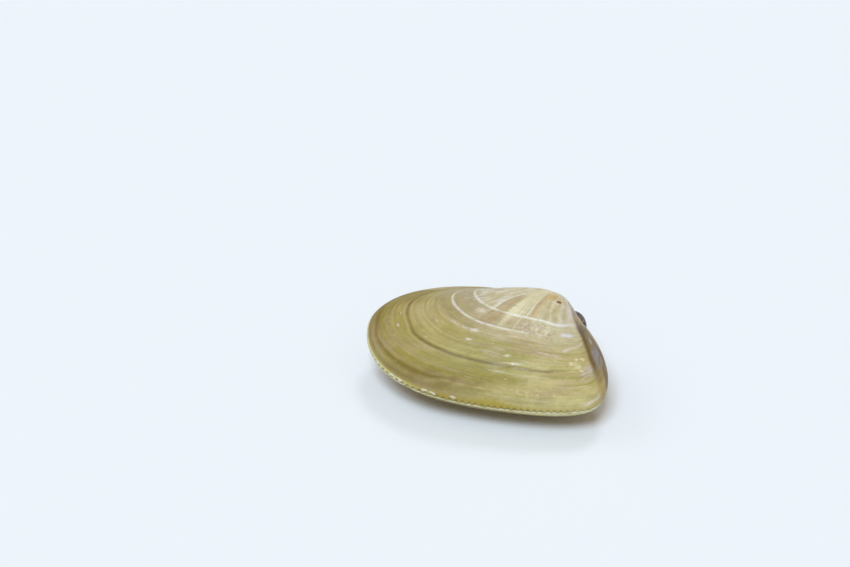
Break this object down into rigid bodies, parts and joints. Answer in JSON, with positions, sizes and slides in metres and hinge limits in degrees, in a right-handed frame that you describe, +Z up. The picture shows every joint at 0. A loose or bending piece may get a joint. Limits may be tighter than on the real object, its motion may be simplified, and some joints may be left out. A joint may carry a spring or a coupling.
{
  "type": "coquina clam shell",
  "caption": "Closed empty coquina clam shell: a long wedge-shaped pair of thin hollow valves held together by a short dark ligament, lying on its side.",
  "frame": {"origin": "middle of the bounding box on the surface that the shell lies on", "axes": "+X along the shell to its short rear end, +Y to its back, where the beaks and the ligament are, +Z up out of the left valve"},
  "size_m": [0.0334, 0.02, 0.0133],
  "materials": {
    "left_valve_shell": "gloss",
    "right_valve_shell": "gloss",
    "ligament_horn": "gloss"
  },
  "bodies": {
    "root": {"left_valve": "left_valve_shell", "right_valve": "right_valve_shell", "ligament": "ligament_horn"}
  },
  "joints": []
}
